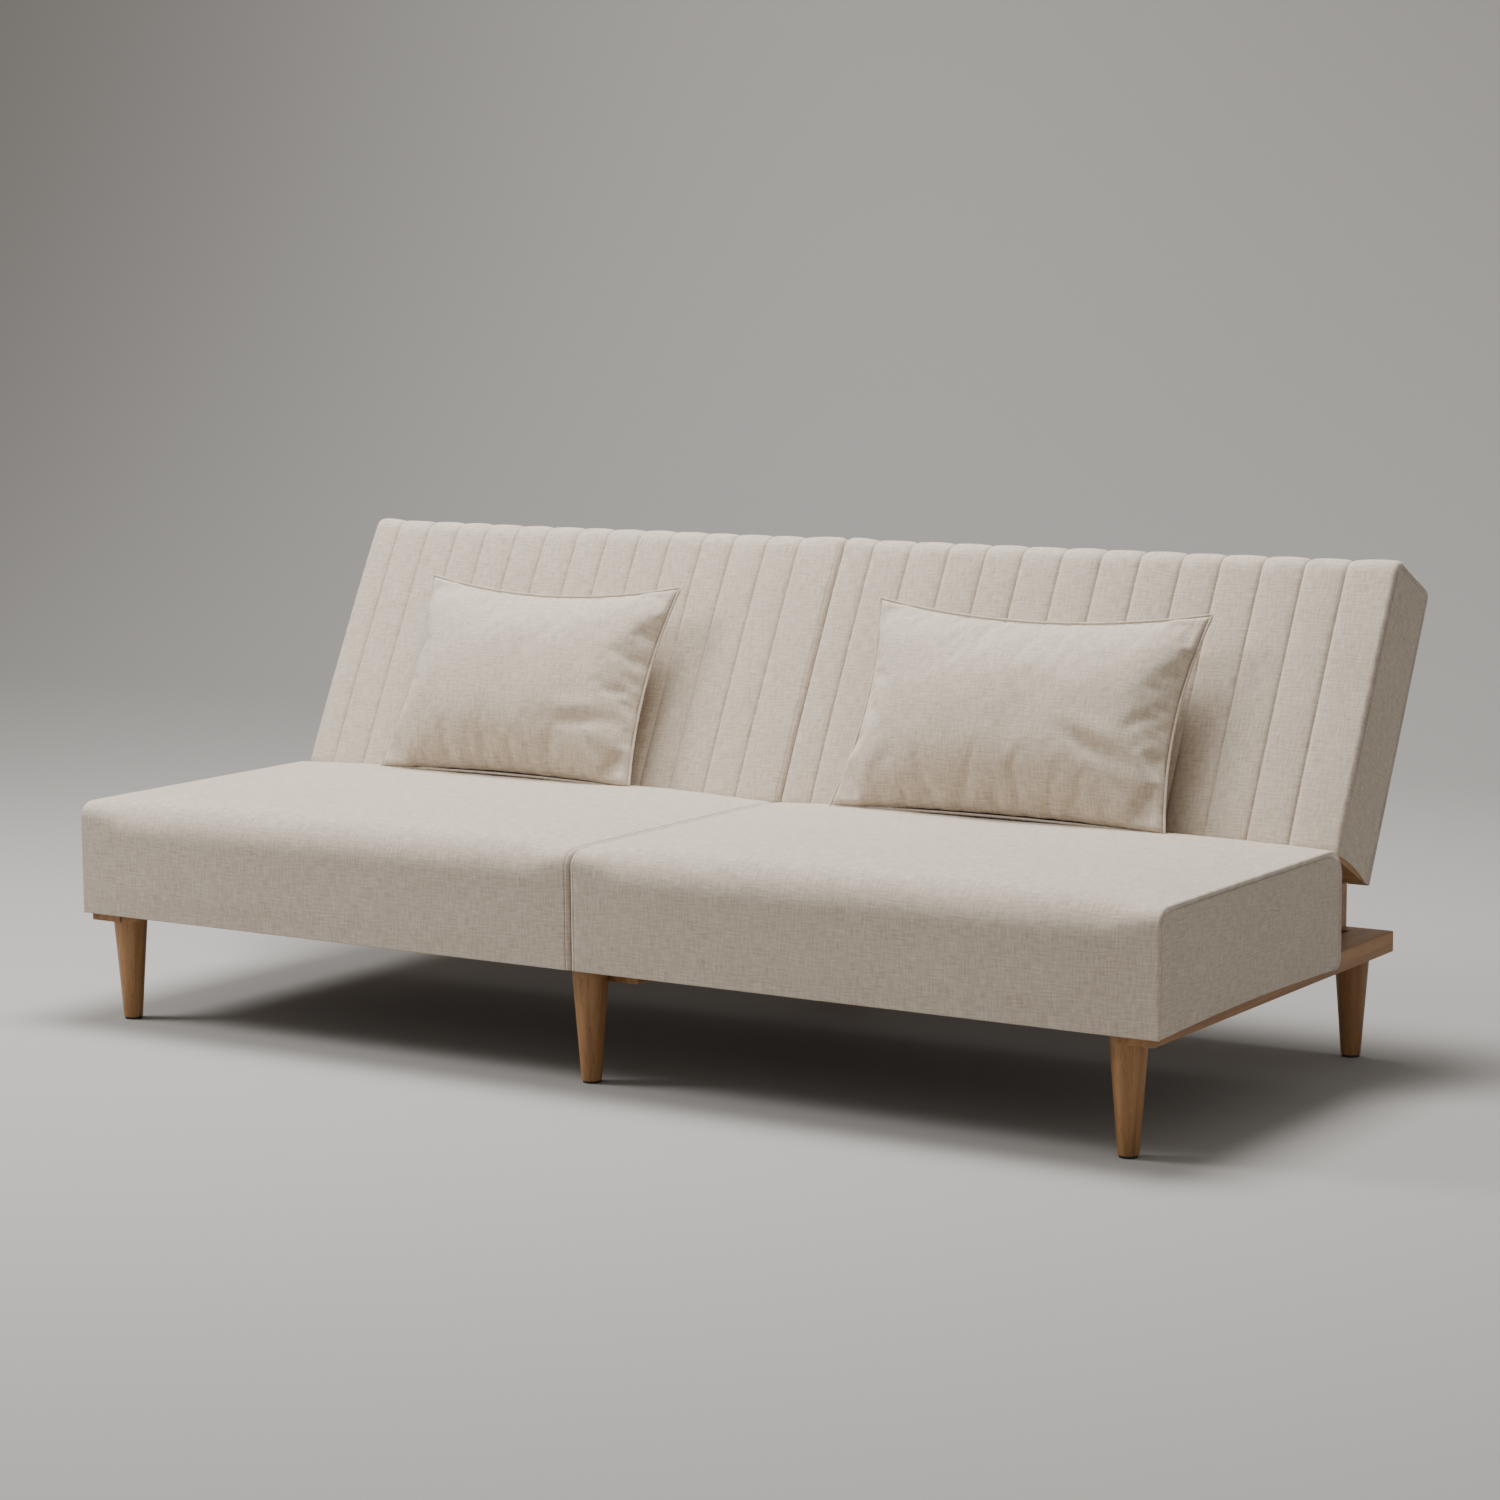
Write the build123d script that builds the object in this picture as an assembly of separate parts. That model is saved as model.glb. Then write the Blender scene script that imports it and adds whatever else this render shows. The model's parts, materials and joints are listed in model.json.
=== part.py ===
from build123d import *
import math
import os

# A two-seat futon sofa bed: one wooden base on six turned legs, two separately upholstered seat
# boxes, two backs that fold down flat on steel hinges, and two loose lumbar pillows.
# Millimetres.  +X to the sitter's left, +Y to the rear, +Z up, seat front at the most negative Y.

# ---- driving dimensions ----
overall_width = 1860.0
half_gap = 1.5              # half of the slit between the two seats, and between the two backs
fabric = 2.5                # cover cloth with its lining
snug = 0.3                  # room between a cover and what fills it

leg_height = 156.0          # floor to the underside of the rails
leg_top_radius = 26.0
leg_foot_radius = 14.5
leg_end_inset = 62.0        # leg axis from the end of the seat
leg_front_inset = 37.0      # leg axis from the front of the seat
glide_height = 4.0
glide_radius = 13.0

rail_width = 44.0
rail_height = 31.0
side_rail_width = 56.0
rail_end_inset = 10.0       # outer face of the side rails from the end of the seat
frame_front = 8.0           # front end of the side rails behind the seat front
frame_past_seat = 212.0     # how far the base reaches behind the seats
rear_rail_width = 30.0
front_rail_y = 60.0
middle_rail_y = 320.0
board_width = 80.0          # flat board that ties the cross rails together in the middle
board_thickness = 12.0
board_offset = 32.0
board_clearance = 1.0       # between the front centre leg and the board behind it
centre_leg_x = 8.0

seat_depth = 568.0
seat_top = 346.0
skirt_bottom = 168.0
seat_front_radius = 42.0
seat_rear_radius = 60.0
skirt_rear_radius = 20.0
seat_frame_height = 24.0
seat_frame_width = 40.0
dust_cloth = 1.0
strap_thickness = 1.4
strap_width = 50.0
straps_per_seat = 6

back_length = 451.5
back_thickness = 124.7
back_tilt = 26.66           # degrees from upright
back_overlap = 15.0         # the back's lower front edge reaches this far over the seat's rear edge
back_drop = 17.6            # and this far below the seat top
flat_rise = 4.0             # lying flat, the back's front face is this much above the seat top
back_board = 14.0
stile_width = 30.0
stile_front = 32.0
web_front = 88.0            # plywood web, measured from the front face of the back
web_thickness = 6.0

pivot_behind_face = 45.7    # hinge pivot from the front face and below the bottom face of the back
pivot_below_board = 4.0
pin_radius = 5.0
running_clearance = 0.05
eye_radius = 13.0
arm_thickness = 5.0
arm_width = 20.0
leaf_thickness = 4.0
leaf_width = 30.0
leaf_length = 158.0
plate_gap = 0.5
notch_radius = 16.0
screw_radius = 2.5
screw_head_radius = 4.5
screw_head_height = 2.4

dowel_radius = 4.0
dowel_half_length = 25.0
dowel_spread = 9.0
dowel_cover = 1.0           # wood left between a dowel and the end of a bolt or screw

post_width = 44.0
post_depth = 28.0
post_end_inset = 84.0       # outer face of the outer posts from the end of the seat
post_inner_x = 66.0         # inner face of the inner posts from the middle
pad_height = 2.0
pad_gap = 0.5               # left between a pad and the back that lies on it

pillow_height = 330.0
pillow_thickness = 130.0
pillow_edge_radius = 60.0
pillow_seat_gap = 2.0
pillow_back_gap = 1.0
pillows = {"left": (-482.0, 485.0), "right": (412.0, 550.0)}    # middle, width

# ---- worked out from them ----
tilt = math.radians(back_tilt)
back_bottom_y = seat_depth - back_overlap
back_bottom_z = seat_top - back_drop
flat_level = seat_top + flat_rise
edge_front_top = 22.0
edge_rear_top = 12.0
edge_front_bottom = 10.0
back_reach = (back_bottom_y + (back_length - edge_rear_top) * math.sin(tilt)
              + (back_thickness - edge_rear_top) * math.cos(tilt) + edge_rear_top)
y0 = -back_reach / 2        # seat front, with the origin below the middle of the whole depth
half_width = overall_width / 2
rail_top = leg_height + rail_height
frame_rear = seat_depth + frame_past_seat
rail_outer = half_width - rail_end_inset
rail_inner = rail_outer - side_rail_width
panel_width = half_width - half_gap
recess_depth = back_thickness - web_front - web_thickness - dust_cloth
hinge_rail_y = seat_depth + 7.0
pivot_y = back_bottom_y + pivot_behind_face * math.cos(tilt) - pivot_below_board * math.sin(tilt)
pivot_z = back_bottom_z - pivot_behind_face * math.sin(tilt) - pivot_below_board * math.cos(tilt)
below_dowels = rail_height / 2 - dowel_radius - dowel_cover
rest_level = flat_level - back_thickness + recess_depth     # underside of the recess, lying flat


def block(x, y, z):
    """Box from three (low, high) pairs."""
    size = [b - a for a, b in (x, y, z)]
    middle = [(a + b) / 2 for a, b in (x, y, z)]
    return Pos(*middle) * Box(*size)


def rounded(points, radii):
    """Face in the YZ plane through the points, each corner with its own radius."""
    face = make_face(Plane.YZ * Polyline(*points, close=True))
    for point, radius in zip(points, radii):
        if radius > 0:
            corner = face.vertices().sort_by_distance((0, *point))[0]
            face = fillet(corner, radius)
    return face


def slab(points, radii, x):
    """A rounded YZ outline carried along X from x[0] to x[1]."""
    return Pos(x[0], 0, 0) * extrude(rounded(points, radii), amount=x[1] - x[0], dir=(1, 0, 0))


def rod_x(radius, x, y, z):
    return Pos((x[0] + x[1]) / 2, y, z) * Rot(Y=90) * Cylinder(radius, x[1] - x[0])


def rod_z(radius, x, y, z):
    return Pos(x, y, (z[0] + z[1]) / 2) * Cylinder(radius, z[1] - z[0])


def one(shapes):
    """Several solids as one compound."""
    return Compound([solid for shape in shapes for solid in shape.solids()])


def placed(shape, place):
    """The shape, or each solid of a group, at its place."""
    solids = shape.solids()
    return place * shape if len(solids) == 1 else Compound([place * solid for solid in solids])


def shift(shape):
    """From depths measured behind the seat front to the part's own frame."""
    return placed(shape, Pos(0, y0, 0))


def stand_back(shape):
    """From the back's own frame (Y through its thickness, Z up its length) to where it leans."""
    return placed(shape, Pos(0, y0 + back_bottom_y, back_bottom_z) * Rot(X=-back_tilt))


def flipped(shape):
    return mirror(shape, Plane.YZ)


def drilled(shape, holes):
    """The shape with a hole for each fastener that reaches it."""
    box = shape.bounding_box()
    for hole in holes:
        other = hole.bounding_box()
        low = (max(box.min.X, other.min.X), max(box.min.Y, other.min.Y), max(box.min.Z, other.min.Z))
        high = (min(box.max.X, other.max.X), min(box.max.Y, other.max.Y), min(box.max.Z, other.max.Z))
        if all(a < b for a, b in zip(low, high)):
            shape -= hole
    return shape


# ---- legs ----
def leg_places():
    end = half_width - leg_end_inset
    rear = frame_rear - leg_front_inset + frame_front
    rows = {"front": (leg_front_inset, leg_height), "rear": (rear, leg_height - board_thickness)}
    places = {}
    for row, (y, centre_top) in rows.items():
        places[f"{row}_left"] = (-end, y, leg_height)
        places[f"{row}_centre"] = (centre_leg_x, y, centre_top)
        places[f"{row}_right"] = (end, y, leg_height)
    return places


plate_radius = 18.0
plate_thickness = 3.0
bolt_radius = 4.0
bolt_in_leg = 45.0


def leg(x, y, top):
    shaft = Pos(x, y, (glide_height + top) / 2) * Cone(leg_foot_radius, leg_top_radius, top - glide_height)
    plate = rod_z(plate_radius, x, y, (top - plate_thickness, top))
    return shaft - plate - bolt(x, y, top)


def bolt(x, y, top):
    return rod_z(bolt_radius, x, y, (top - bolt_in_leg, top + below_dowels))


def leg_fixing(x, y, top):
    """Hanger bolt with the round steel plate that spreads the leg's load."""
    return bolt(x, y, top) + rod_z(plate_radius, x, y, (top - plate_thickness, top))


def glide(x, y):
    return rod_z(glide_radius, x, y, (0, glide_height))


# ---- base frame ----
cross_rails = {
    "front_rail": (front_rail_y, rail_width),
    "middle_rail": (middle_rail_y, rail_width),
    "hinge_rail": (hinge_rail_y, rail_width),
    "rear_rail": (frame_rear - rear_rail_width, rear_rail_width),
}
screw_up = 16.0             # how far a screw goes into what it holds


def dowels():
    rods = []
    for start, width in cross_rails.values():
        for side in (-1, 1):
            for offset in (-dowel_spread, dowel_spread):
                x = side * rail_inner
                ends = (x - dowel_half_length, x + dowel_half_length)
                rods.append(rod_x(dowel_radius, ends, start + width / 2 + offset, leg_height + rail_height / 2))
    return rods


def screw_from_below(x, y, bottom, length):
    head = rod_z(screw_head_radius, x, y, (bottom, bottom + screw_head_height))
    return head + rod_z(screw_radius, x, y, (bottom, bottom + length))


def frame_screws():
    """Through the board into the cross rails, the rails into the seats, the rear rail into the posts."""
    screws = []
    low = leg_height - board_thickness
    for start, width in cross_rails.values():
        for offset in (-26.0, 26.0):
            screws.append(screw_from_below(board_offset + offset, start + width / 2, low, board_thickness + screw_up))
    under_slat = (half_gap + half_width) / 2
    under_end = (rail_outer + half_width - fabric - snug - seat_frame_width) / 2
    rails = [start + rail_width / 2 for start in (front_rail_y, middle_rail_y)]
    between = [y + rail_width * 1.5 for y in rails]
    for side in (-1, 1):
        for x, rows in ((under_slat, rails), (under_end, between)):
            for y in rows:
                screws.append(screw_from_below(side * x, y, leg_height, rail_height + dust_cloth + screw_up))
    for x in post_middles():
        screws.append(screw_from_below(x, frame_rear - post_depth / 2, leg_height, rail_height + screw_up))
    return screws


def leg_boss(x, behind):
    """Round head over a front leg, as high as the rails, with a neck back to the given depth."""
    level = (leg_height, rail_top)
    sides = (x - leg_top_radius, x + leg_top_radius)
    head = rod_z(leg_top_radius, x, leg_front_inset, level) - block(sides, (behind, behind + leg_top_radius), level)
    return head + block(sides, (leg_front_inset, behind), level)


def side_rail():
    rail = block((rail_inner, rail_outer), (frame_front, frame_rear), (leg_height, rail_top))
    rail = fillet(rail.edges().filter_by(Axis.Y).group_by(Axis.X)[-1], 2.0)
    return rail + leg_boss(half_width - leg_end_inset, front_rail_y - snug)


def cross_rail(name):
    start, width = cross_rails[name]
    rail = block((-rail_inner, rail_inner), (start, start + width), (leg_height, rail_top))
    return rail + leg_boss(centre_leg_x, start + width / 2) if name == "front_rail" else rail


def centre_board():
    x = (board_offset - board_width / 2, board_offset + board_width / 2)
    start = leg_front_inset + leg_top_radius + board_clearance
    return block(x, (start, frame_rear - 4), (leg_height - board_thickness, leg_height))


# ---- rest posts for the folded backs ----
def post_middles():
    outer = half_width - post_end_inset - post_width / 2
    inner = post_inner_x + post_width / 2
    return [-outer, -inner, inner, outer]


def rest_post(x):
    top = rest_level - pad_gap - pad_height
    post = block((x - post_width / 2, x + post_width / 2), (frame_rear - post_depth, frame_rear), (rail_top, top))
    return chamfer(post.edges().group_by(Axis.Z)[-1], 1.0)


def rest_pad(x):
    top = rest_level - pad_gap
    inset = 3.0
    across = (x - post_width / 2 + inset, x + post_width / 2 - inset)
    return block(across, (frame_rear - post_depth + inset, frame_rear - inset), (top - pad_height, top))


# ---- seats ----
seat_x = (half_gap, half_width)


def seat_outline(inset, bottom):
    points = [(inset, bottom), (seat_depth - inset, bottom),
              (seat_depth - inset, seat_top - inset), (inset, seat_top - inset)]
    return points


def seat_cover():
    radii = [3.0, skirt_rear_radius, seat_rear_radius, seat_front_radius]
    outer = slab(seat_outline(0, skirt_bottom), radii, seat_x)
    inner_radii = [0, 0, seat_rear_radius - fabric, seat_front_radius - fabric]
    inside = slab(seat_outline(fabric, skirt_bottom - 1), inner_radii, (seat_x[0] + fabric, seat_x[1] - fabric))
    cover = outer - inside
    room = 1.0
    for start, width in cross_rails.values():
        if start < seat_depth:
            cover -= block((0, rail_inner), (start - room, start + width + room), (leg_height, rail_top))
    boss_front = leg_front_inset - leg_top_radius - room
    boss_edge = centre_leg_x + leg_top_radius + room
    cover -= block((0, boss_edge), (boss_front, front_rail_y), (leg_height, rail_top))
    board_edge = board_offset + board_width / 2 + room
    cover -= block((0, board_edge), (0, seat_depth), (0, leg_height + room))
    cover -= block((rail_inner - room, rail_outer + room), (seat_depth / 2, seat_depth + 1), (0, rail_top + room))
    return cover


def seat_frame():
    bottom = rail_top + dust_cloth
    edge = fabric + snug
    x = (seat_x[0] + edge, seat_x[1] - edge)
    y = (edge, seat_depth - edge)
    z = (bottom, bottom + seat_frame_height)
    w = seat_frame_width
    middle = (x[0] + x[1]) / 2
    frame = block(x, y, z) - block((x[0] + w, x[1] - w), (y[0] + w, y[1] - w), z)
    return frame + block((middle - w / 2, middle + w / 2), (y[0] + w, y[1] - w), z)


def seat_straps():
    bottom = rail_top + dust_cloth + seat_frame_height
    step = (seat_x[1] - seat_x[0]) / straps_per_seat
    straps = []
    for number in range(straps_per_seat):
        x = seat_x[0] + step * (number + 0.5)
        straps.append(block((x - strap_width / 2, x + strap_width / 2),
                            (fabric + 8, seat_depth - fabric - 8), (bottom, bottom + strap_thickness)))
    return straps


def seat_foam():
    inset = fabric + snug
    bottom = rail_top + dust_cloth + seat_frame_height + strap_thickness
    radii = [0, 0, seat_rear_radius - inset, seat_front_radius - inset]
    return slab(seat_outline(inset, bottom), radii, (seat_x[0] + inset, seat_x[1] - inset))


def seat_dust_cloth():
    margin = 12.0
    x = (seat_x[0] + margin, seat_x[1] - margin)
    return block(x, (margin, seat_depth - margin), (rail_top, rail_top + dust_cloth))


# ---- backs, in their own frame ----
back_x = (half_gap, half_width)
under = fabric + 0.5        # cover and a little room, from the outside of the back to its boards
outer_stile_x = (half_width - under - stile_width, half_width - under)
inner_stile_x = (half_gap + under, half_gap + under + stile_width)
leaf_x = {"outer": (outer_stile_x[0] - leaf_thickness, outer_stile_x[0]),
          "inner": (inner_stile_x[1], inner_stile_x[1] + leaf_thickness)}
arm_x = {"outer": (leaf_x["outer"][0] - plate_gap - arm_thickness, leaf_x["outer"][0] - plate_gap),
         "inner": (leaf_x["inner"][1] + plate_gap, leaf_x["inner"][1] + plate_gap + arm_thickness)}
pin_head = 3.0
clip = 2.0
recess_x = (inner_stile_x[1], outer_stile_x[0])
recess_z = (back_board, back_length - under - back_board)


def back_outline(inset, bottom):
    return [(inset, bottom), (back_thickness - inset, bottom),
            (back_thickness - inset, back_length - inset), (inset, back_length - inset)]


def hinge_span(side):
    """X range that the pin, its head and its clip take up, with room at both ends."""
    low = min(leaf_x[side][0], arm_x[side][0]) - pin_head - 1
    high = max(leaf_x[side][1], arm_x[side][1]) + pin_head + 1
    return (low, high)


def notches():
    return [rod_x(notch_radius, hinge_span(side), pivot_behind_face, -pivot_below_board) for side in leaf_x]


def leaf_slots(top):
    """Room for the leaves and their screw heads."""
    room = 0.4
    slots = []
    for side, (low, high) in leaf_x.items():
        head = screw_head_height + room
        x = (low - head, high) if side == "outer" else (low, high + head)
        y = (pivot_behind_face - leaf_width / 2 - room, pivot_behind_face + leaf_width / 2 + room)
        slots.append(block(x, y, (-1, top)))
    return slots


def back_cover():
    outer = slab(back_outline(0, 0), [edge_front_bottom, 4.0, edge_rear_top, edge_front_top], back_x)
    inner_x = (back_x[0] + fabric, back_x[1] - fabric)
    radii = [0, 0, edge_rear_top - fabric, edge_front_top - fabric]
    cover = outer - slab(back_outline(fabric, -1), radii, inner_x)
    return cover - block(recess_x, (web_front, back_thickness + 1), recess_z)


def back_foam():
    inset = fabric + snug
    radii = [edge_front_bottom - inset, 0, edge_rear_top - inset, edge_front_top - inset]
    foam = slab(back_outline(inset, inset), radii, (back_x[0] + inset, back_x[1] - inset))
    room = 0.2
    foam -= block((-1, half_width + 1), (web_front - room, back_thickness), (0, back_length))
    foam -= block((-1, half_width + 1), (-1, back_thickness), (-1, back_board + room))
    foam -= block((inner_stile_x[0] - 1, inner_stile_x[1] + room), (stile_front - room, back_thickness), (0, back_length))
    foam -= block((outer_stile_x[0] - room, outer_stile_x[1] + 1), (stile_front - room, back_thickness), (0, back_length))
    foam -= block((-1, half_width + 1), (stile_front - room, back_thickness), (recess_z[1] - room, back_length))
    for slot in leaf_slots(back_board + leaf_length + 2):
        foam -= slot
    return foam


def back_bottom_board():
    board = block((half_gap + under, half_width - under), (under, back_thickness - under), (0, back_board))
    board = fillet(board.edges().filter_by(Axis.X).group_by(Axis.Y)[0].sort_by(Axis.Z)[0], edge_front_bottom - under)
    for cut in notches() + leaf_slots(back_board + 1):
        board -= cut
    return board


def back_top_board():
    top = back_length - under
    board = block((half_gap + under, half_width - under), (stile_front, back_thickness - under), (top - back_board, top))
    return fillet(board.edges().filter_by(Axis.X).group_by(Axis.Y)[-1].sort_by(Axis.Z)[-1], edge_rear_top - under)


def stile(x):
    return block(x, (stile_front, back_thickness - under), (back_board, recess_z[1]))


def back_web():
    return block(recess_x, (web_front, web_front + web_thickness), recess_z)


def back_rear_cloth():
    y = web_front + web_thickness
    return block(recess_x, (y, y + dust_cloth), recess_z)


# ---- hinges ----
def leaf_screw_heights():
    return [back_board + 30, back_board + 85, back_board + 140]


def hinge_leaf(side):
    low, high = leaf_x[side]
    y = (pivot_behind_face - leaf_width / 2, pivot_behind_face + leaf_width / 2)
    bar = block((low, high), y, (-pivot_below_board, back_board + leaf_length))
    plate = bar + rod_x(leaf_width / 2, (low, high), pivot_behind_face, -pivot_below_board)
    plate -= rod_x(pin_radius + running_clearance, (low - 1, high + 1), pivot_behind_face, -pivot_below_board)
    for screw in leaf_screws(side):
        plate -= screw
    return plate


def leaf_screws(side):
    low, high = leaf_x[side]
    screws = []
    for z in leaf_screw_heights():
        if side == "outer":
            head, shank = (low - screw_head_height, low), (low, high + screw_up)
        else:
            head, shank = (high, high + screw_head_height), (low - screw_up, high)
        screws.append(rod_x(screw_head_radius, head, pivot_behind_face, z)
                      + rod_x(screw_radius, shank, pivot_behind_face, z))
    return screws


foot_thickness = 4.0
foot_width = 34.0


def foot_x(side):
    """The foot turns away from the leaf, over solid wood."""
    low, high = arm_x[side]
    return (high - foot_width, high) if side == "outer" else (low, low + foot_width)


def hinge_arm(side):
    low, high = arm_x[side]
    front = seat_depth + 2.5
    bar = block((low, high), (front, front + arm_width), (rail_top, pivot_z))
    arm = bar + rod_x(eye_radius, (low, high), pivot_y, pivot_z)
    foot = block(foot_x(side), (hinge_rail_y, hinge_rail_y + rail_width), (rail_top, rail_top + foot_thickness))
    gusset = block((low, high), (front, hinge_rail_y + rail_width), (rail_top, rail_top + 30.0))
    arm = arm + foot + gusset
    arm -= hinge_pin(side)
    for screw in arm_screws(side):
        arm -= screw
    return arm


def hinge_pin(side):
    if side == "outer":
        shaft = (arm_x[side][0], leaf_x[side][1] + plate_gap)
        head = (shaft[0] - pin_head, shaft[0])
        end = (shaft[1], shaft[1] + clip)
    else:
        shaft = (leaf_x[side][0] - plate_gap, arm_x[side][1])
        head = (shaft[1], shaft[1] + pin_head)
        end = (shaft[0] - clip, shaft[0])
    pin = rod_x(pin_radius, shaft, pivot_y, pivot_z)
    return pin + rod_x(pin_radius + 3, head, pivot_y, pivot_z) + rod_x(pin_radius + 2, end, pivot_y, pivot_z)


def arm_screws(side):
    low, high = foot_x(side)
    away = high - arm_thickness if side == "outer" else low + arm_thickness
    x = away - 16 if side == "outer" else away + 16
    top = rail_top + foot_thickness
    screws = []
    for y in (hinge_rail_y + 10, hinge_rail_y + rail_width - 10):
        head = rod_z(screw_head_radius, x, y, (top, top + screw_head_height))
        screws.append(head + rod_z(screw_radius, x, y, (rail_top - below_dowels, top)))
    return screws


# ---- lumbar pillows, in the back's own frame ----
def pillow(width, inset):
    """A block with every edge rolled, smaller by the inset all round."""
    across = width - 2 * inset
    up = pillow_height - 2 * inset
    through = pillow_thickness - 2 * inset
    face = Plane.XZ * RectangleRounded(across, up, pillow_edge_radius - inset)
    body = extrude(face, amount=through / 2, both=True)
    front_and_back = body.edges().group_by(Axis.Y)
    return fillet(front_and_back[0] + front_and_back[-1], pillow_edge_radius - inset)


def placed_pillow(name, inset):
    middle, width = pillows[name]
    # height along the back at which the rolled lower edge clears the seat
    roll = pillow_edge_radius
    clear = seat_top + pillow_seat_gap - back_bottom_z
    low = (clear + roll - (roll + pillow_back_gap) * math.sin(tilt)) / math.cos(tilt) - roll
    return Pos(middle, -pillow_thickness / 2 - pillow_back_gap, low + pillow_height / 2) * pillow(width, inset)


def build():
    nodes = {}
    places = leg_places()
    for name, (x, y, top) in places.items():
        nodes[f"leg_{name}"] = shift(leg(x, y, top))
    nodes["foot_glides"] = shift(one([glide(x, y) for x, y, top in places.values()]))
    nodes["leg_bolts"] = shift(one([leg_fixing(*place) for place in places.values()]))

    arm_holes = [screw for side in arm_x for screw in arm_screws(side)]
    holes = [bolt(*place) for place in places.values()] + dowels() + frame_screws()
    holes += arm_holes + [flipped(hole) for hole in arm_holes]
    right_rail = side_rail()
    nodes["side_rail_right"] = shift(drilled(right_rail, holes))
    nodes["side_rail_left"] = shift(drilled(flipped(right_rail), holes))
    for name in cross_rails:
        nodes[name] = shift(drilled(cross_rail(name), holes))
    nodes["centre_board"] = shift(drilled(centre_board(), holes))
    nodes["frame_dowels"] = shift(one(dowels()))
    nodes["frame_screws"] = shift(one(frame_screws()))
    middles = post_middles()
    posts = {"left": middles[:2], "right": middles[2:]}
    for name, across in posts.items():
        nodes[f"rest_posts_{name}"] = shift(one([drilled(rest_post(x), holes) for x in across]))
    nodes["rest_pads"] = shift(one([rest_pad(x) for x in middles]))

    frame = seat_frame()
    seat = {"seat_cover": seat_cover(), "seat_foam": seat_foam()}
    for name, shape in seat.items():
        nodes[f"{name}_right"] = shift(shape)
        nodes[f"{name}_left"] = shift(flipped(shape))
    nodes["seat_frame_right"] = shift(drilled(frame, holes))
    nodes["seat_frame_left"] = shift(drilled(flipped(frame), holes))
    straps = seat_straps()
    nodes["seat_straps"] = shift(one(straps + [flipped(strap) for strap in straps]))
    cloth = seat_dust_cloth()
    nodes["seat_dust_cloths"] = shift(one([drilled(cloth, holes), drilled(flipped(cloth), holes)]))

    panel = {
        "back_cover": back_cover(),
        "back_foam": back_foam(),
        "back_bottom_board": back_bottom_board(),
        "back_top_board": back_top_board(),
        "back_outer_stile": drilled(stile(outer_stile_x), leaf_screws("outer")),
        "back_inner_stile": drilled(stile(inner_stile_x), leaf_screws("inner")),
        "back_web": back_web(),
        "back_rear_cloth": back_rear_cloth(),
        "hinge_leaf_outer": hinge_leaf("outer"),
        "hinge_leaf_inner": hinge_leaf("inner"),
        "leaf_screws": one(leaf_screws("outer") + leaf_screws("inner")),
    }
    for name, shape in panel.items():
        nodes[f"{name}_right"] = stand_back(shape)
        nodes[f"{name}_left"] = stand_back(flipped(shape))

    pins = []
    screws = []
    for side in arm_x:
        arm = hinge_arm(side)
        nodes[f"hinge_arm_{side}_right"] = shift(arm)
        nodes[f"hinge_arm_{side}_left"] = shift(flipped(arm))
        pins += [hinge_pin(side), flipped(hinge_pin(side))]
        screws += arm_screws(side) + [flipped(screw) for screw in arm_screws(side)]
    nodes["hinge_pins"] = shift(one(pins))
    nodes["arm_screws"] = shift(one(screws))

    for name in pillows:
        outer = placed_pillow(name, 0)
        nodes[f"pillow_cover_{name}"] = stand_back(outer - placed_pillow(name, fabric))
        nodes[f"pillow_fill_{name}"] = stand_back(placed_pillow(name, fabric + snug))
    return nodes


if __name__ == "__main__":
    os.makedirs("parts", exist_ok=True)
    made = build()
    for node, shape in made.items():
        export_step(shape, f"parts/{node}.step")
    print(len(made), "nodes; depth", round(back_reach, 2), "pivot y", round(y0 + pivot_y, 2), "z", round(pivot_z, 2))
    print("seat front y", round(y0, 2), "rest level", round(rest_level, 2))
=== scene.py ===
# %% [markdown]
# # A two-seat futon sofa bed, looks and finishes
# This file is a lesson for someone learning Blender. The wooden base, the hinges and every moving
# joint come ready made as the frame. What is made here is what a CAD model does badly: sewn covers
# that crown and pucker, pillows that are really stuffed, linen, oiled wood and steel.

# %% Load the frame
import json
import math

import bmesh
import bpy
import numpy as np
from mathutils import Matrix, Vector


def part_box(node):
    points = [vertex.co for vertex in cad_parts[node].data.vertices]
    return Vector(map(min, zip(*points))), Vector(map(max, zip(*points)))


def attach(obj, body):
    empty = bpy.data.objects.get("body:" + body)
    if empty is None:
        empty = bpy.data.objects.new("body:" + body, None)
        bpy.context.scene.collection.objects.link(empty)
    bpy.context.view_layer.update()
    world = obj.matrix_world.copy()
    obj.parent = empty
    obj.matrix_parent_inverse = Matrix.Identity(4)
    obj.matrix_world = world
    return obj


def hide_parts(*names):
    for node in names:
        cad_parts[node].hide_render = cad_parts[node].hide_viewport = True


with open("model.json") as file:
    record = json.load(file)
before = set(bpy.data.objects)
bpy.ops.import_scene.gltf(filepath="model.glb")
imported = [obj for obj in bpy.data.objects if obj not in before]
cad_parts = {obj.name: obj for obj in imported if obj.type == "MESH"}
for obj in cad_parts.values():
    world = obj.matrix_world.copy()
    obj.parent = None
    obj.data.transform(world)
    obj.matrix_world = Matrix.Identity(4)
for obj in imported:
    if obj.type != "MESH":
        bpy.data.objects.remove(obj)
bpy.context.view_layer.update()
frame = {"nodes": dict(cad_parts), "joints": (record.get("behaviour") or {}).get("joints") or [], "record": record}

nodes = frame["nodes"]

# %% [markdown]
# ## Camera, floor and lights
# The sofa is seen from its right front corner with a long lens, a little above seat height. A studio
# sweep is a floor that curves up into a wall, so no horizon line shows. A soft key lamp stands in
# front on the left, a larger one hangs overhead, a third lights the wall, and the sky gives the rest.

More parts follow.
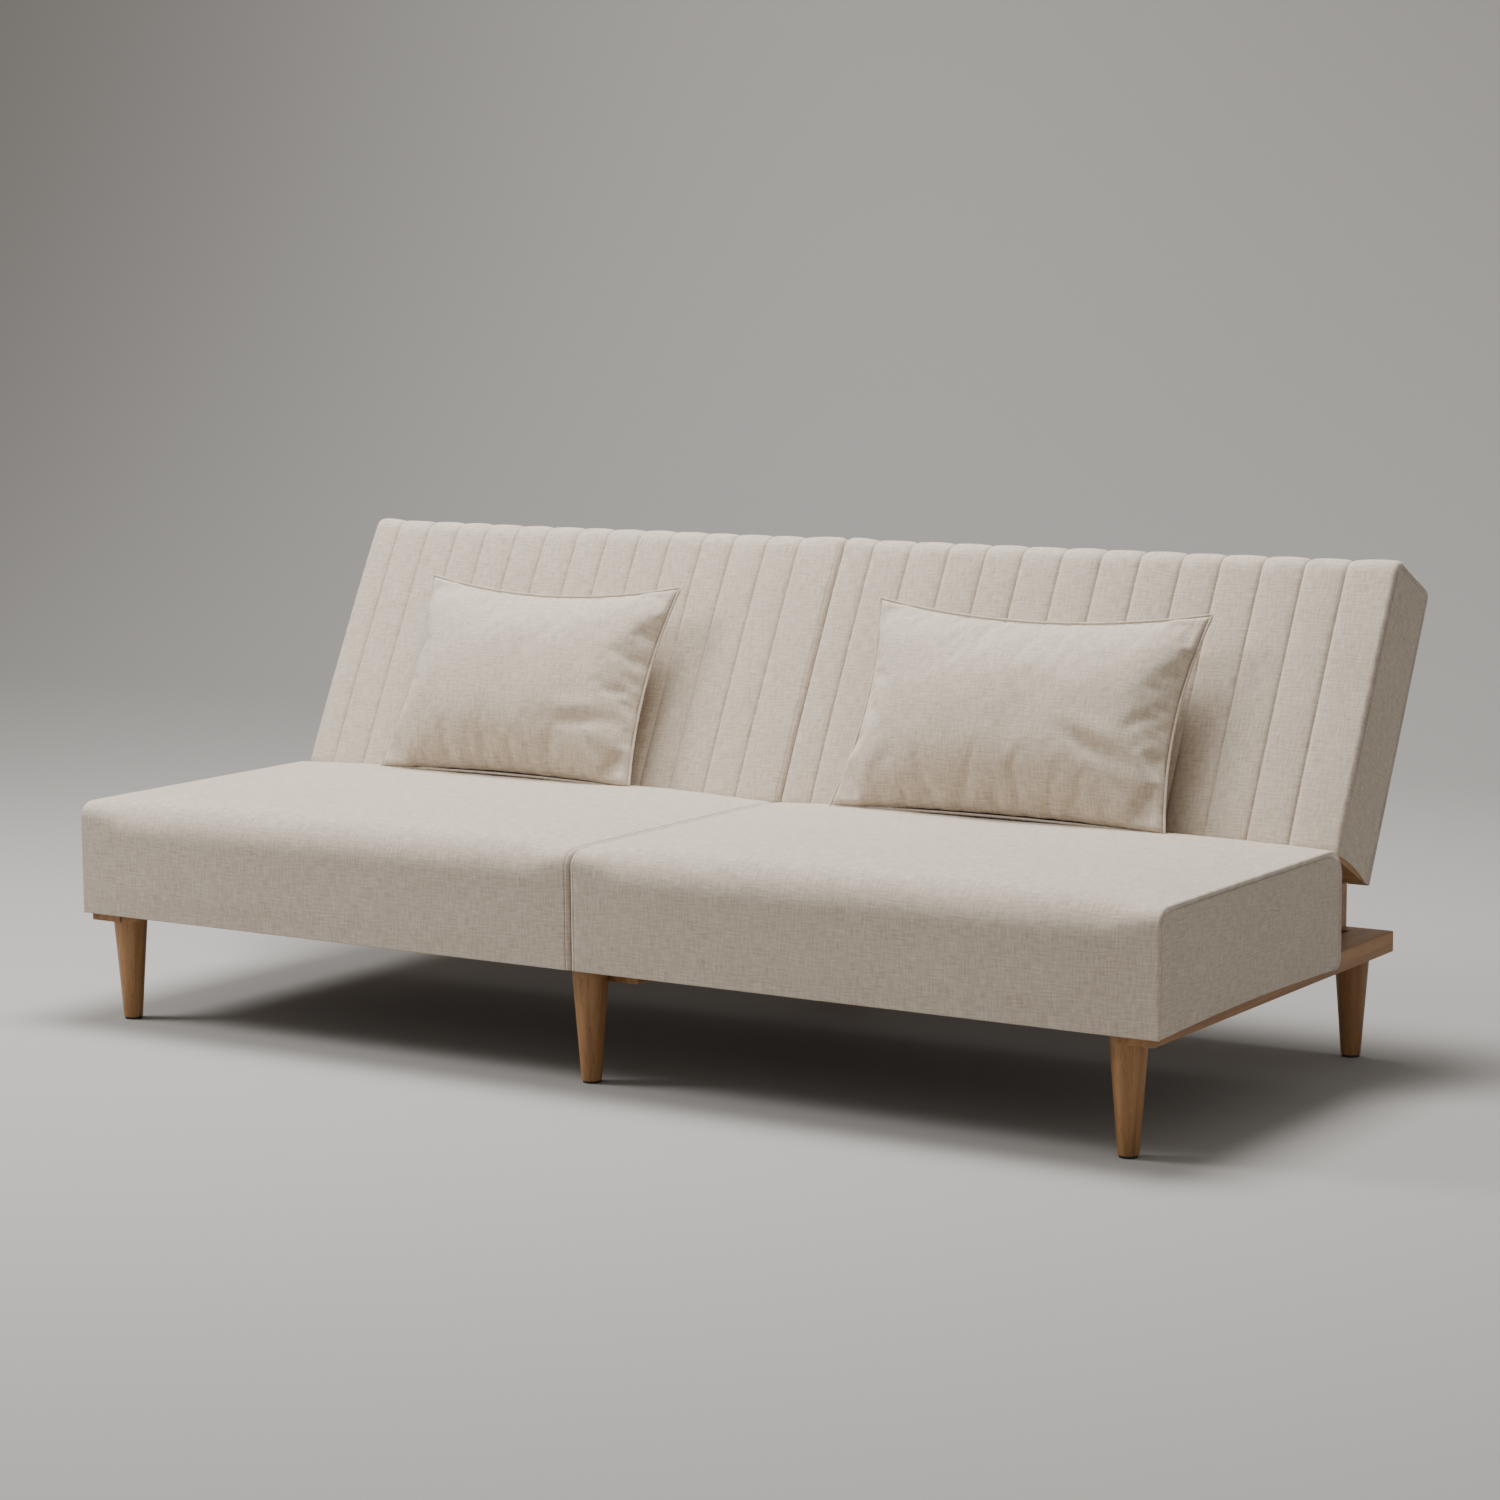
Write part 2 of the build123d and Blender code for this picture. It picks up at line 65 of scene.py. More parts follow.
# %% Camera
front_camera = bpy.data.cameras.new("camera")
camera = bpy.data.objects.new("camera", front_camera)
bpy.context.scene.collection.objects.link(camera)
bpy.context.scene.camera = camera
front_camera.sensor_width = 36.0
front_camera.lens = 88.9
camera.location = (3.029, -4.638, 1.181)
yaw, pitch, roll = (math.radians(a) for a in (32.91, -7.686, -0.455))
look = Matrix.Rotation(yaw, 3, "Z") @ Matrix.Rotation(math.pi / 2 + pitch, 3, "X")
look = look @ Matrix.Rotation(roll, 3, "Z")
camera.rotation_euler = look.to_euler()
front_camera.clip_end = 60
print("camera lens", front_camera.lens, "mm")


# %% Studio sweep and lamps
def studio_sweep(front, back, half, radius):
    """A sheet carried sideways: flat floor, then a quarter circle of the given radius, then a wall."""
    turn = np.linspace(0, math.pi / 2, 24)
    y = np.concatenate([[front], back - radius + radius * np.sin(turn), [back]])
    z = np.concatenate([[0], radius - radius * np.cos(turn), [radius + 4]])
    ends = np.array([-half, half])
    return np.stack(np.broadcast_arrays(ends[None, :], y[:, None], z[:, None]), -1)


def plain_grid(name, points):
    """A mesh object from a (rows, columns, 3) array of points."""
    rows, columns = points.shape[:2]
    index = np.arange(rows * columns).reshape(rows, columns)
    faces = np.stack([index[:-1, :-1], index[:-1, 1:], index[1:, 1:], index[1:, :-1]], -1).reshape(-1, 4)
    mesh = bpy.data.meshes.new(name)
    mesh.from_pydata(points.reshape(-1, 3).tolist(), [], faces.tolist())
    mesh.shade_smooth()
    thing = bpy.data.objects.new(name, mesh)
    bpy.context.scene.collection.objects.link(thing)
    return thing


sweep = plain_grid("studio_sweep", studio_sweep(-9.0, 5.5, 12.0, 2.5))


def soft_lamp(name, place, aim, size, power):
    """A rectangular area lamp turned towards a point; size in metres, power in watts."""
    lamp = bpy.data.lights.new(name, "AREA")
    lamp.shape = "RECTANGLE"
    lamp.size, lamp.size_y = size
    lamp.energy = power
    holder = bpy.data.objects.new(name, lamp)
    bpy.context.scene.collection.objects.link(holder)
    holder.location = place
    holder.rotation_euler = (Vector(aim) - Vector(place)).to_track_quat("-Z", "Y").to_euler()


soft_lamp("key_lamp", (-3.0, -1.5, 2.8), (0.0, 0.0, 0.3), (1.3, 1.3), 112)
soft_lamp("top_lamp", (-0.2, 0.35, 3.9), (0.0, 0.0, 0.0), (1.8, 1.2), 235)
soft_lamp("wall_lamp", (-3.3, 2.7, 3.1), (-3.5, 5.5, 1.9), (2.0, 0.9), 48)
world = bpy.data.worlds.new("studio_sky")
bpy.context.scene.world = world
world.use_nodes = True
world.node_tree.nodes["Background"].inputs["Color"].default_value = (1.0, 0.985, 0.955, 1)
world.node_tree.nodes["Background"].inputs["Strength"].default_value = 0.40

# %% [markdown]
# ## Writing shader maths as sums
# Node graphs are hard to read as lists of links. Here a socket is wrapped in a small class, so that
# `height * 2 + grain` adds the Math nodes by itself, and one method adds any other node.


# %% Sockets that add up
class Wire:
    """A node's output that can stand in a sum."""

    def __init__(self, finish, socket):
        self.finish, self.socket = finish, socket

    def _math(self, operation, *values):
        return self.finish.node("ShaderNodeMath", {"operation": operation}, values)

    def __add__(self, other):
        return self._math("ADD", self, other)

    def __sub__(self, other):
        return self._math("SUBTRACT", self, other)

    def __rsub__(self, other):
        return self._math("SUBTRACT", other, self)

    def __mul__(self, other):
        return self._math("MULTIPLY", self, other)

    __radd__ = __add__
    __rmul__ = __mul__

    def power(self, other):
        return self._math("POWER", self, other)

    def sine(self):
        return self._math("SINE", self)

    def size(self):
        return self._math("ABSOLUTE", self)


class Finish:
    """A material being built; its shader is a Principled BSDF."""

    def __init__(self, name, roughness, **constants):
        self.material = bpy.data.materials.new(name)
        self.material.use_nodes = True
        self.tree = self.material.node_tree
        self.shader = self.tree.nodes["Principled BSDF"]
        self.set(Roughness=roughness, **{k.replace("_", " "): v for k, v in constants.items()})

    def _plug(self, socket, value):
        if isinstance(value, Wire):
            self.tree.links.new(value.socket, socket)
        else:
            socket.default_value = value

    def set(self, **values):
        for name, value in values.items():
            self._plug(self.shader.inputs[name], value)

    def node(self, kind, settings=None, inputs=(), output=0):
        """Adds a node: first its settings, then the values or links of its sockets."""
        made = self.tree.nodes.new(kind)
        for name, value in (settings or {}).items():
            setattr(made, name, value)
        pairs = inputs.items() if isinstance(inputs, dict) else enumerate(inputs)
        for key, value in pairs:
            self._plug(made.inputs[key], value)
        return Wire(self, made.outputs[output])

    def colours(self, share, first, second):
        """first where share is 0, second where it is 1."""
        made = {"data_type": "RGBA", "clamp_factor": True}
        colour = [(*c, 1) if isinstance(c, tuple) else c for c in (first, second)]
        return self.node("ShaderNodeMix", made, {0: share, 6: colour[0], 7: colour[1]}, 2)

    def stretched(self, place, sizes):
        """Coordinates times a size on each axis."""
        return self.node("ShaderNodeVectorMath", {"operation": "MULTIPLY"}, [place, sizes])

    def noise(self, place, detail=2.0, rough=0.5, warp=0.0):
        """Soft noise from 0 to 1, one lump to each unit of the coordinates."""
        inputs = {"Vector": place, "Scale": 1.0, "Detail": detail, "Roughness": rough, "Distortion": warp}
        return self.node("ShaderNodeTexNoise", {"noise_dimensions": "3D"}, inputs)

    def ramp(self, value, low, high):
        """0 below low, 1 above high, straight between."""
        return self.node("ShaderNodeMapRange", {"clamp": True}, [value, low, high, 0.0, 1.0])

    def bump(self, height, distance, strength=1.0):
        return self.node("ShaderNodeBump", {}, {"Strength": strength, "Distance": distance, "Height": height})


print("shader helpers ready")

# %% [markdown]
# ## Linen
# The cover is a plain weave of thick and thin yarns, oatmeal and a little darker brown-grey. The
# yarns follow the cloth, so the pattern reads the piece's own UV map, which holds real metres along
# and across. Yarn thickness varies along each thread: noise stretched a long way one way for the
# warp and the other way for the weft gives the flecks that make linen look like linen.


# %% Linen cover cloth
yarn = 0.0013                       # metres from one thread to the next


def linen(name, light, dark):
    cloth = Finish(name, 0.92, Sheen_Weight=0.25, Sheen_Roughness=0.6, Specular_IOR_Level=0.25)
    metres = cloth.node("ShaderNodeUVMap", {"uv_map": "metres"})
    warp = cloth.noise(cloth.stretched(metres, (1 / 0.0026, 1 / 0.022, 1)), 2)
    weft = cloth.noise(cloth.stretched(metres, (1 / 0.022, 1 / 0.0026, 1)), 2)
    fine = cloth.noise(cloth.stretched(metres, (1 / 0.0016, 1 / 0.0016, 1)), 1)
    mottle = cloth.noise(cloth.stretched(metres, (9, 9, 1)), 3)
    flecks = cloth.ramp(warp * 0.5 + weft * 0.5, 0.36, 0.64)
    shade = flecks * 0.62 + fine * 0.2 + mottle * 0.18
    base = cloth.colours(shade, dark, light)
    turn = math.pi / yarn
    threads = cloth.stretched(metres, (turn, turn, 0))
    split = cloth.node("ShaderNodeSeparateXYZ", {}, [threads])
    across = split.sine()
    along = Wire(cloth, split.socket.node.outputs[1]).sine()
    weave = (across * along) * 0.5 + 0.5
    height = weave * 0.45 + warp * 0.3 + weft * 0.3
    cloth.set(Normal=cloth.bump(height, 0.0007, 0.8))
    cloth.shader.inputs["Base Color"].default_value = (*light, 1)
    cloth._plug(cloth.shader.inputs["Base Color"], base)
    return cloth.material


cover_linen = linen("oatmeal_linen", (0.675, 0.58, 0.47), (0.37, 0.30, 0.225))
print("cloth:", cover_linen.name)

# %% [markdown]
# ## Wood
# The base is a straight-grained hardwood, stained mid brown and oiled. Grain runs along each piece,
# so the same finish is made once for each direction: noise stretched a metre long and a few
# millimetres wide gives the streaks, and short dark dashes give the pores.


# %% Oiled wood
def oiled_wood(name, grain_axis, light, dark):
    wood = Finish(name, 0.45, Specular_IOR_Level=0.4)
    place = wood.node("ShaderNodeTexCoord", {}, [], 3)
    long, wide = 2.2, 75.0
    streaks = [wide] * 3
    streaks[grain_axis] = long
    pores = [900.0] * 3
    pores[grain_axis] = 45.0
    grain = wood.noise(wood.stretched(place, streaks), 5, 0.6, 0.6)
    figure = wood.noise(wood.stretched(place, [s * 0.16 for s in streaks]), 2, 0.5, 1.0)
    pore = wood.ramp(wood.noise(wood.stretched(place, pores), 1), 0.60, 0.72)
    tone = wood.ramp(grain * 0.65 + figure * 0.45, 0.38, 0.72)
    base = wood.colours(tone, dark, light)
    base = wood.colours(pore * 0.5, base, tuple(c * 0.45 for c in dark))
    wood._plug(wood.shader.inputs["Base Color"], base)
    wood.set(Roughness=grain * 0.18 + 0.36, Normal=wood.bump(grain * 0.5 - pore * 0.6, 0.0003))
    return wood.material


woods = [oiled_wood(f"oiled_wood_{axis}", number, (0.45, 0.245, 0.098), (0.22, 0.10, 0.035))
         for number, axis in enumerate("xyz")]
print("woods:", [w.name for w in woods])

# %% [markdown]
# ## Steel, plastic, felt and the cloth underneath
# Small parts still need a believable finish: powder-coated steel has a fine orange-peel bump,
# plated screws are bright and a little uneven, dust cloth is a thin felted sheet.


# %% Small finishes
def speckled(name, roughness, light, dark, lump, distance, **constants):
    """One colour broken up by fine noise, with the same noise as bump."""
    finish = Finish(name, roughness, **constants)
    place = finish.node("ShaderNodeTexCoord", {}, [], 3)
    grit = finish.noise(finish.stretched(place, [1 / lump] * 3), 3)
    broad = finish.noise(finish.stretched(place, [30.0] * 3), 2)
    finish._plug(finish.shader.inputs["Base Color"], finish.colours(grit * 0.6 + broad * 0.4, dark, light))
    finish.set(Normal=finish.bump(grit, distance), Roughness=grit * 0.15 + (roughness - 0.07))
    return finish.material


coated_steel = speckled("coated_steel", 0.42, (0.035, 0.035, 0.037), (0.018, 0.018, 0.02), 0.0008, 0.0001)
plated_steel = speckled("plated_steel", 0.32, (0.62, 0.61, 0.57), (0.45, 0.44, 0.42), 0.002, 0.00003,
                        Metallic=1.0)
glide_plastic = speckled("glide_plastic", 0.55, (0.03, 0.027, 0.024), (0.015, 0.014, 0.013), 0.001, 0.00008)
felt_pad = speckled("felt_pad", 0.95, (0.14, 0.12, 0.10), (0.06, 0.05, 0.045), 0.0012, 0.0006)
dust_cloth = speckled("dust_cloth", 0.95, (0.05, 0.05, 0.052), (0.022, 0.022, 0.024), 0.0015, 0.0003)
webbing = speckled("webbing", 0.85, (0.13, 0.12, 0.11), (0.05, 0.045, 0.04), 0.002, 0.0004)
plywood = speckled("plywood", 0.7, (0.62, 0.46, 0.29), (0.48, 0.33, 0.19), 0.003, 0.0001)
foam = speckled("foam", 0.95, (0.85, 0.80, 0.62), (0.70, 0.64, 0.46), 0.0012, 0.0005)
studio_paint = speckled("studio_paint", 0.9, (0.385, 0.368, 0.35), (0.375, 0.358, 0.34), 0.01, 0.00001)


def shown_from_the_front(material):
    """Sight and light pass through a sheet from its rear: the share of a transparent shader is 1 there."""
    tree = material.node_tree
    side = tree.nodes.new("ShaderNodeNewGeometry")
    clear, mix = tree.nodes.new("ShaderNodeBsdfTransparent"), tree.nodes.new("ShaderNodeMixShader")
    tree.links.new(side.outputs["Backfacing"], mix.inputs[0])
    tree.links.new(tree.nodes["Principled BSDF"].outputs[0], mix.inputs[1])
    tree.links.new(clear.outputs[0], mix.inputs[2])
    tree.links.new(mix.outputs[0], tree.nodes["Material Output"].inputs[0])


shown_from_the_front(studio_paint)
sweep.data.materials.append(studio_paint)

finishes = {"zinc_steel": plated_steel, "black_steel": coated_steel, "glide_plastic": glide_plastic,
            "felt": felt_pad, "dust_cloth": dust_cloth, "webbing": webbing, "plywood": plywood,
            "foam_fill": foam, "cover_fabric": cover_linen}
for part in frame["record"]["subparts"]:
    node = nodes[part["node"]]
    low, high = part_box(part["node"])
    longest = int(np.argmax(high - low))
    finish = finishes.get(part["material_slot"]) or woods[longest]
    node.data.materials.clear()
    node.data.materials.append(finish)
print("finishes on", len(nodes), "nodes")

# %% [markdown]
# ## Sewn covers as surfaces
# A seat or a back is a box of foam in a sewn cover: one long sheet goes up the front, over the top
# and down the rear, and a plain panel closes each end. So the cover is worked out the same way. An
# outline with round corners is carried sideways to give the sheet, and an end panel is filled in
# between the four edges that the sheet leaves open.

# %% Outlines with round corners
mm = 0.001


def round_path(corners, radii, arc=20):
    """Open path of straight runs and quarter circles. A corner's arc runs from its centre minus the
    way out times cos t minus the way in times sin t, with t from 0 to a right angle."""
    corners = np.asarray(corners, float)
    turn = np.linspace(0, math.pi / 2, arc)[:, None]
    path, middles = [corners[:1]], []
    for before, corner, after, radius in zip(corners, corners[1:], corners[2:], radii):
        come = (before - corner) / np.linalg.norm(before - corner)
        leave = (after - corner) / np.linalg.norm(after - corner)
        centre = corner + (come + leave) * radius
        path.append(centre - leave * radius * np.cos(turn) - come * radius * np.sin(turn))
        middles.append(centre - (leave + come) * radius * math.sqrt(0.5))
    path.append(corners[-1:])
    return np.concatenate(path), np.array(middles)


def lengths(path):
    """Distance walked along a path at each of its points."""
    return np.concatenate([[0], np.cumsum(np.linalg.norm(np.diff(path, axis=0), axis=1))])


def walk(path, distance):
    """Points of a path at the given distances."""
    walked = lengths(path)
    return np.stack([np.interp(distance, walked, column) for column in path.T], -1)


def spaced(start, end, edge, count):
    """Count even steps from start to end, with a close one added at both ends."""
    inner = np.linspace(start + 3 * edge, end - 3 * edge, count)
    return np.concatenate([[start, start + edge], inner, [end - edge, end]])


def drift(u, v, size, seed):
    """Slow unevenness: seven sine waves of about the given size, each with its own heading."""
    chance = np.random.default_rng(seed)
    total = 0
    for _ in range(7):
        heading, phase = chance.uniform(0, 2 * math.pi, 2)
        wave = 2 * math.pi / (size * chance.uniform(0.7, 1.5))
        total = total + np.sin(wave * (u * math.cos(heading) + v * math.sin(heading)) + phase)
    return total / 7


print("drift over a metre:", np.round(drift(np.linspace(0, 1, 5), 0, 0.3, 1), 2))


# %% Grids joined into one mesh
def sewn_mesh(name, grids):
    """One mesh from (points, flat, keep) grids: flat is each point's place on the cloth in metres,
    and keep says which faces stay. Grids that share an edge are merged there."""
    points, faces, flat, count = [], [], [], 0
    for place, cloth, keep in grids:
        rows, columns = place.shape[:2]
        index = np.arange(rows * columns).reshape(rows, columns)
        quads = np.stack([index[:-1, :-1], index[:-1, 1:], index[1:, 1:], index[1:, :-1]], -1)[keep]
        points.append(place.reshape(-1, 3))
        faces.append(quads + count)
        flat.append(cloth.reshape(-1, 2)[quads.reshape(-1)])
        count += rows * columns
    mesh = bpy.data.meshes.new(name)
    mesh.from_pydata(np.concatenate(points).tolist(), [], np.concatenate(faces).tolist())
    layer = mesh.uv_layers.new(name="metres")
    layer.data.foreach_set("uv", np.concatenate(flat).astype(np.float32).ravel())
    work = bmesh.new()
    work.from_mesh(mesh)
    bmesh.ops.remove_doubles(work, verts=work.verts, dist=2e-5)
    bmesh.ops.delete(work, geom=[v for v in work.verts if not v.link_faces], context="VERTS")
    work.to_mesh(mesh)
    work.free()
    mesh.shade_smooth()
    thing = bpy.data.objects.new(name, mesh)
    bpy.context.scene.collection.objects.link(thing)
    return thing


def filled(left, top, right, bottom):
    """A patch between four edges: the two ruled surfaces added, less the one through its corners."""
    across = np.linspace(0, 1, len(top))[None, :, None]
    up = np.linspace(0, 1, len(left))[:, None, None]
    ruled = (1 - across) * left[:, None] + across * right[:, None] + (1 - up) * bottom[None] + up * top[None]
    corners = ((1 - across) * (1 - up) * bottom[0] + across * (1 - up) * bottom[-1]
               + (1 - across) * up * top[0] + across * up * top[-1])
    return ruled - corners


def read_points(thing):
    flat = np.empty(len(thing.data.vertices) * 3, np.float32)
    thing.data.vertices.foreach_get("co", flat)
    return flat.reshape(-1, 3).astype(float)


def write_points(thing, points):
    thing.data.vertices.foreach_set("co", points.astype(np.float32).ravel())
    thing.data.update()


# %% [markdown]
# ## The cover of one box
# Four facts shape a cover: how far it swells at each point, how round its end seams are, how far the
# seam pulls in, and how much the end panels bulge. Where two covers face each other the seam pulls in
# further and the panel sinks, so the split between them reads as a dark line.

# %% Sheet and end panels
seam_pull = 1.8 * mm
split_pull = 5.5 * mm                # the same where two covers face each other
split_sink = 2.5 * mm                # how far the panel sinks behind its seam there
hem_arch = 5 * mm                    # an outer end panel's hem is drawn up by this in its middle
hem_share = 0.3                      # share of the panel's rows over which its bulge fades out
end_blend = 90 * mm                  # the middle outline turns into the end outline over this width
panel_apart = 5                      # metres between cloth coordinates of the sheet and the panels


def stations(path, middles):
    """Distances along a path of the middles of its two upper corners, and of its end."""
    walked = lengths(path)
    return [walked[np.argmin(np.linalg.norm(path - m, axis=1))] for m in middles] + [walked[-1]]


def facing(path, distance):
    """Outward direction: the path's heading at each distance, turned a quarter to the left."""
    whole = lengths(path)[-1]
    step = 0.4 * mm
    ahead = walk(path, np.minimum(distance + step, whole)) - walk(path, np.maximum(distance - step, 0))
    ahead /= np.linalg.norm(ahead, axis=1)[:, None]
    return np.stack([-ahead[:, 1], ahead[:, 0]], -1)


def box_cover(name, side, width, near, outlines, sections, columns, swell, rounds, bulges, window=None):
    """Sheet point = outline point + outward normal times (swell less the end rounding), carried to
    each column. End rounding at distance e from an end is r less the root of r squared less (r - e)
    squared. outlines holds the middle and the end outline, mixed over the last 90 mm. side is 1 for
    the right-hand box, -1 for its mirror image. Gives the object and the sheet's points. A rear hem
    that turns under keeps its height, and an outer panel's bulge fades out towards its hem."""
    (path, middles), (end_path, end_middles) = outlines
    first, last, whole = stations(path, middles)
    front, top, rear = sections(first, last, whole)
    distance = np.concatenate([front, top[1:], rear[1:]])
    place, outward = walk(path, distance), facing(path, distance)
    end_distance = np.interp(distance, [0, first, last, whole], [0] + stations(end_path, end_middles))
    end_place = walk(end_path, end_distance)
    near_end = np.clip(1 - np.minimum(columns, width - columns) / end_blend, 0, 1)
    near_end = (near_end ** 2 * (3 - 2 * near_end))[None, :, None]
    rounding = 0
    for edge, radius in zip((columns, width - columns), rounds):
        short = np.clip(radius - edge, 0, radius)
        rounding = rounding + radius - np.sqrt(radius ** 2 - short ** 2)
    at_end = np.zeros(len(columns))
    at_end[[0, -1]] = 1
    pull = at_end * np.where(columns < width / 2, split_pull, seam_pull)
    lip = np.clip(-outward[:, 1], 0, 1) * (distance > last)
    rounding = (rounding + pull)[None, :] * (1 - lip)[:, None]
    lift = swell(columns[None, :], distance[:, None], place) - rounding
    flat_place = (place[:, None] * (1 - near_end) + end_place[:, None] * near_end
                  + outward[:, None] * lift[..., None])
    across = near + columns + np.where(columns < width / 2, 1, -1) * pull
    sheet = np.concatenate([np.broadcast_to(across[None, :, None], lift.shape + (1,)), flat_place], -1)
    cloth = np.stack(np.broadcast_arrays(columns[None, :] + near, distance[:, None]), -1)
    keep = np.ones((len(distance) - 1, len(columns) - 1), bool)
    if window is not None:
        low, high, floor = window
        mid_x = (columns[1:] + columns[:-1]) / 2
        mid_s = (distance[1:] + distance[:-1]) / 2
        keep = ~((mid_x > low) & (mid_x < high) & (mid_s[:, None] > floor))
    grids = [(sheet, cloth, keep)]
    count, tops = len(front), len(top)
    for end, outwards, bulge in ((0, -1, bulges[0]), (-1, 1, bulges[1])):
        edge = sheet[:, end, :]
        left, roof, right = edge[:count], edge[count - 1:count + tops - 1], edge[count + tops - 2:][::-1]
        share = ((top - top[0]) / (top[-1] - top[0]))[:, None]
        floor_line = left[0] * (1 - share) + right[0] * share
        if bulge > 0:
            floor_line[:, 2] += hem_arch * np.sin(math.pi * share[:, 0])
        patch = filled(left, roof, right, floor_line)
        a = np.linspace(0, 1, len(roof))[None, :]
        b = np.linspace(0, 1, len(left))[:, None]
        inner = (np.minimum(a, 1 - a) > 0) & (b < 1)
        hump = (1 - np.abs(2 * a - 1) ** 3) * (1 - np.clip(2 * b - 1, 0, 1) ** 3)
        step_out = np.where(inner, seam_pull if bulge > 0 else -split_sink, 0)
        hem = np.clip(b / hem_share, 0, 1) if bulge > 0 else 1
        patch[..., 0] += outwards * (bulge * hump + step_out) * hem
        flat = patch[..., 1:] + outwards * panel_apart
        every = np.ones((patch.shape[0] - 1, patch.shape[1] - 1), bool)
        if outwards > 0:
            patch, flat = patch[:, ::-1], flat[:, ::-1]
        grids.append((patch, flat, every))
    if side > 0:
        turned = [(p[::-1], c[::-1], k[::-1]) for p, c, k in grids]
    else:
        turned = [(p * (-1, 1, 1), c * (-1, 1), k) for p, c, k in grids]
    return sewn_mesh(name, turned), sheet * (side, 1, 1)


def finish_cover(thing, thickness=2.2 * mm):
    thing.data.materials.append(cover_linen)
    shell = thing.modifiers.new("cloth thickness", "SOLIDIFY")
    shell.thickness = thickness
    shell.offset = -1
    return thing


print("test outline has", len(round_path([(0, 0), (0, 1), (1, 1)], [0.1])[0]), "points")

# %% [markdown]
# ## Stuffing by simulation
# A filling pushes a cover out everywhere except where thread holds it. Blender's cloth can do just
# that: the stitched points are pinned, pressure pushes the rest, and the cloth is told to be a little
# longer than the mesh, so the spare length gathers into small folds at the seams. The result is kept
# only as far as a limit, and the modifier is removed. Only the pillows are made this way.


# %% Pressure with pinned seams
def stuffed(thing, pinned, pressure, spare, frames, limit, stiffness=12.0, bending=0.4):
    """Cloth pressure on thing for some frames; each point moves at most limit."""
    start = read_points(thing)
    if len(pinned):
        group = thing.vertex_groups.new(name="stitched")
        group.add([int(i) for i in pinned], 1.0, "REPLACE")
    cloth = thing.modifiers.new("stuffing", "CLOTH")
    rules = cloth.settings
    rules.quality = 6
    rules.mass = 0.25
    rules.tension_stiffness = rules.compression_stiffness = rules.shear_stiffness = stiffness
    rules.bending_stiffness = bending
    rules.tension_damping = rules.compression_damping = rules.shear_damping = 12
    rules.use_pressure = True
    rules.uniform_pressure_force = pressure
    rules.shrink_min = -spare
    rules.effector_weights.gravity = 0
    cloth.collision_settings.use_collision = False
    if len(pinned):
        rules.vertex_group_mass = "stitched"
    scene = bpy.context.scene
    scene.frame_start, scene.frame_end = 1, frames
    cloth.point_cache.frame_start, cloth.point_cache.frame_end = 1, frames
    for frame_number in range(1, frames + 1):
        scene.frame_set(frame_number)
    graph = bpy.context.evaluated_depsgraph_get()
    after = thing.evaluated_get(graph).to_mesh()
    flat = np.empty(len(after.vertices) * 3, np.float32)
    after.vertices.foreach_get("co", flat)
    moved = flat.reshape(-1, 3).astype(float) - start
    thing.modifiers.remove(cloth)
    far = np.linalg.norm(moved, axis=1, keepdims=True)
    moved *= np.minimum(1, limit / np.maximum(far, 1e-9))
    write_points(thing, start + moved)
    scene.frame_set(1)
    print(thing.name, "moved by up to", round(float(far.max()) * 1000, 1), "mm")


# %% [markdown]
# ## Seats
# Each seat is a low box with a big soft roll along its front edge and a smaller one at the rear. The
# top is crowned, highest in the middle, and falls a little towards the end seams. No simulation is
# needed: foam under tension keeps a plain shape, so sums give it.

# %% Seat covers
seat_low, seat_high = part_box("seat_cover_right")
seat_width = seat_high.x - seat_low.x
seat_deep = seat_high.y - seat_low.y
skirt_low = seat_low.z
end_seam_top = seat_high.z - 7 * mm
crown = 14 * mm
front_bulge = 3.0 * mm
front_roll, skirt_round = 46 * mm, 20 * mm


def seat_outline(front_roll, rear_roll):
    front, rear = seat_low.y, seat_high.y
    corners = [(front, skirt_low), (front, end_seam_top), (rear, end_seam_top), (rear, skirt_low),
               (rear - skirt_round, skirt_low)]
    return round_path(corners, [front_roll, rear_roll, skirt_round])


def seat_sections(first, last, whole):
    edge = 1.6 * mm
    return spaced(0, first, edge, 30), spaced(first, last, edge, 80), spaced(last, whole, edge, 30)


